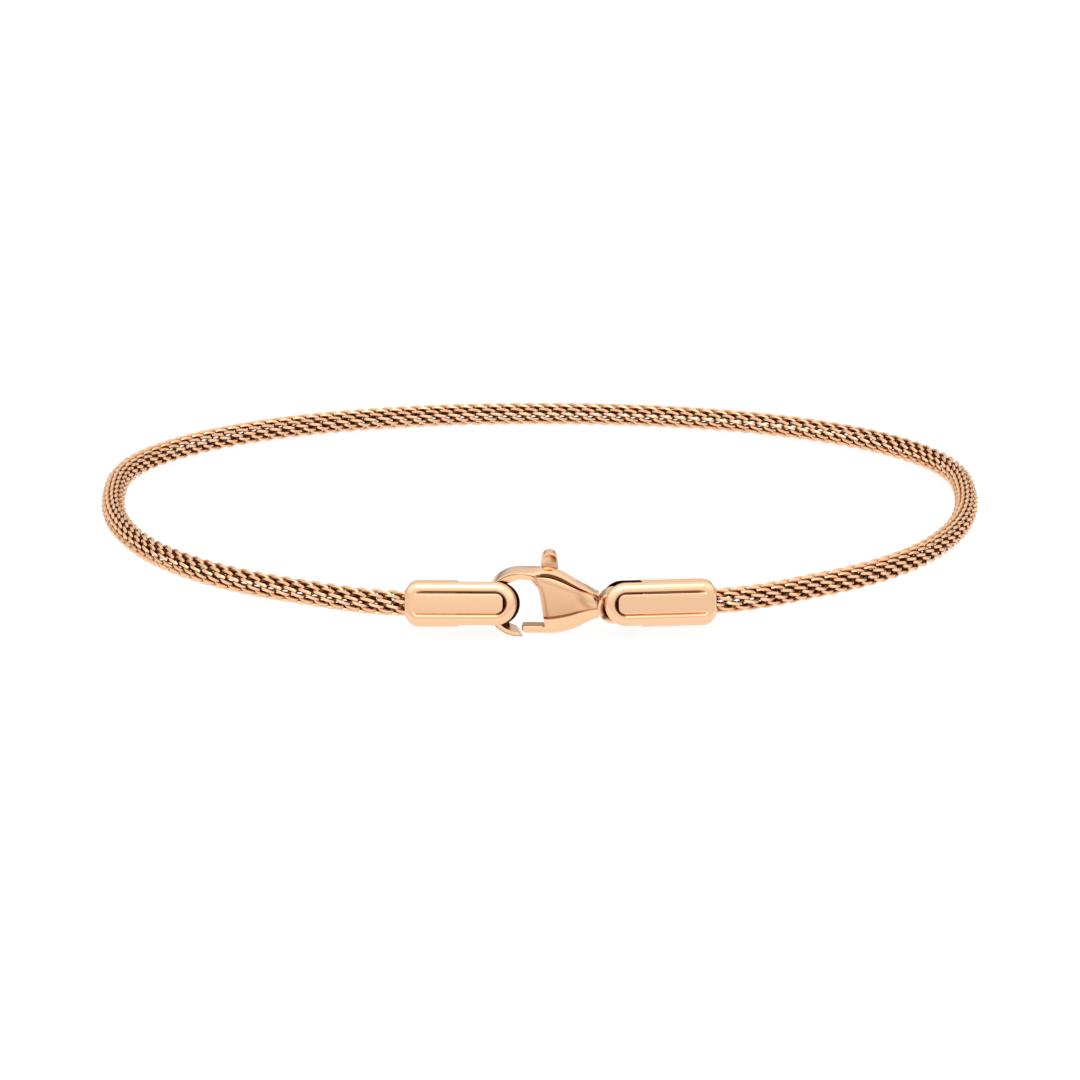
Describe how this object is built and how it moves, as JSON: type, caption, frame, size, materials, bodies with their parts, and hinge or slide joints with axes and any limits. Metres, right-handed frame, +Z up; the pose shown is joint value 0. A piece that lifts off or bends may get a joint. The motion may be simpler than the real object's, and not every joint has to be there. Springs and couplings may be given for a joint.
{
  "type": "mesh bracelet",
  "caption": "Slim tubular mesh bracelet in an oval loop, with forked end caps joined by a sprung lobster clasp.",
  "frame": {"origin": "middle of the bounding box in X and Y, on the surface that the bracelet lies on", "axes": "+X to the right, +Y from the clasp towards the back of the loop, +Z up from the surface"},
  "size_m": [0.064, 0.0492, 0.0057],
  "materials": {
    "woven_mesh": "fine woven wire, plated rose gold",
    "polished_caps": "polished, plated rose gold",
    "polished_clasp": "polished, plated rose gold",
    "posts": "drawn wire, plated rose gold"
  },
  "bodies": {
    "bracelet": {"mesh_tube": "woven_mesh", "left_end_cap": "polished_caps", "right_end_cap": "polished_caps", "left_cap_post": "posts", "right_cap_post": "posts", "clasp_body": "polished_clasp", "lever_pin": "posts"},
    "lever": {"lever": "polished_clasp"}
  },
  "joints": [
    {"name": "lever_pivot", "type": "hinge", "parent": "bracelet", "child": "lever", "pos_m": [0.00097, -0.02222, 0.0021], "axis": [0, 1, 0], "range_deg": [0, 25], "stiffness_Nm_per_rad": 0.001, "springref_deg": -11.46}
  ]
}
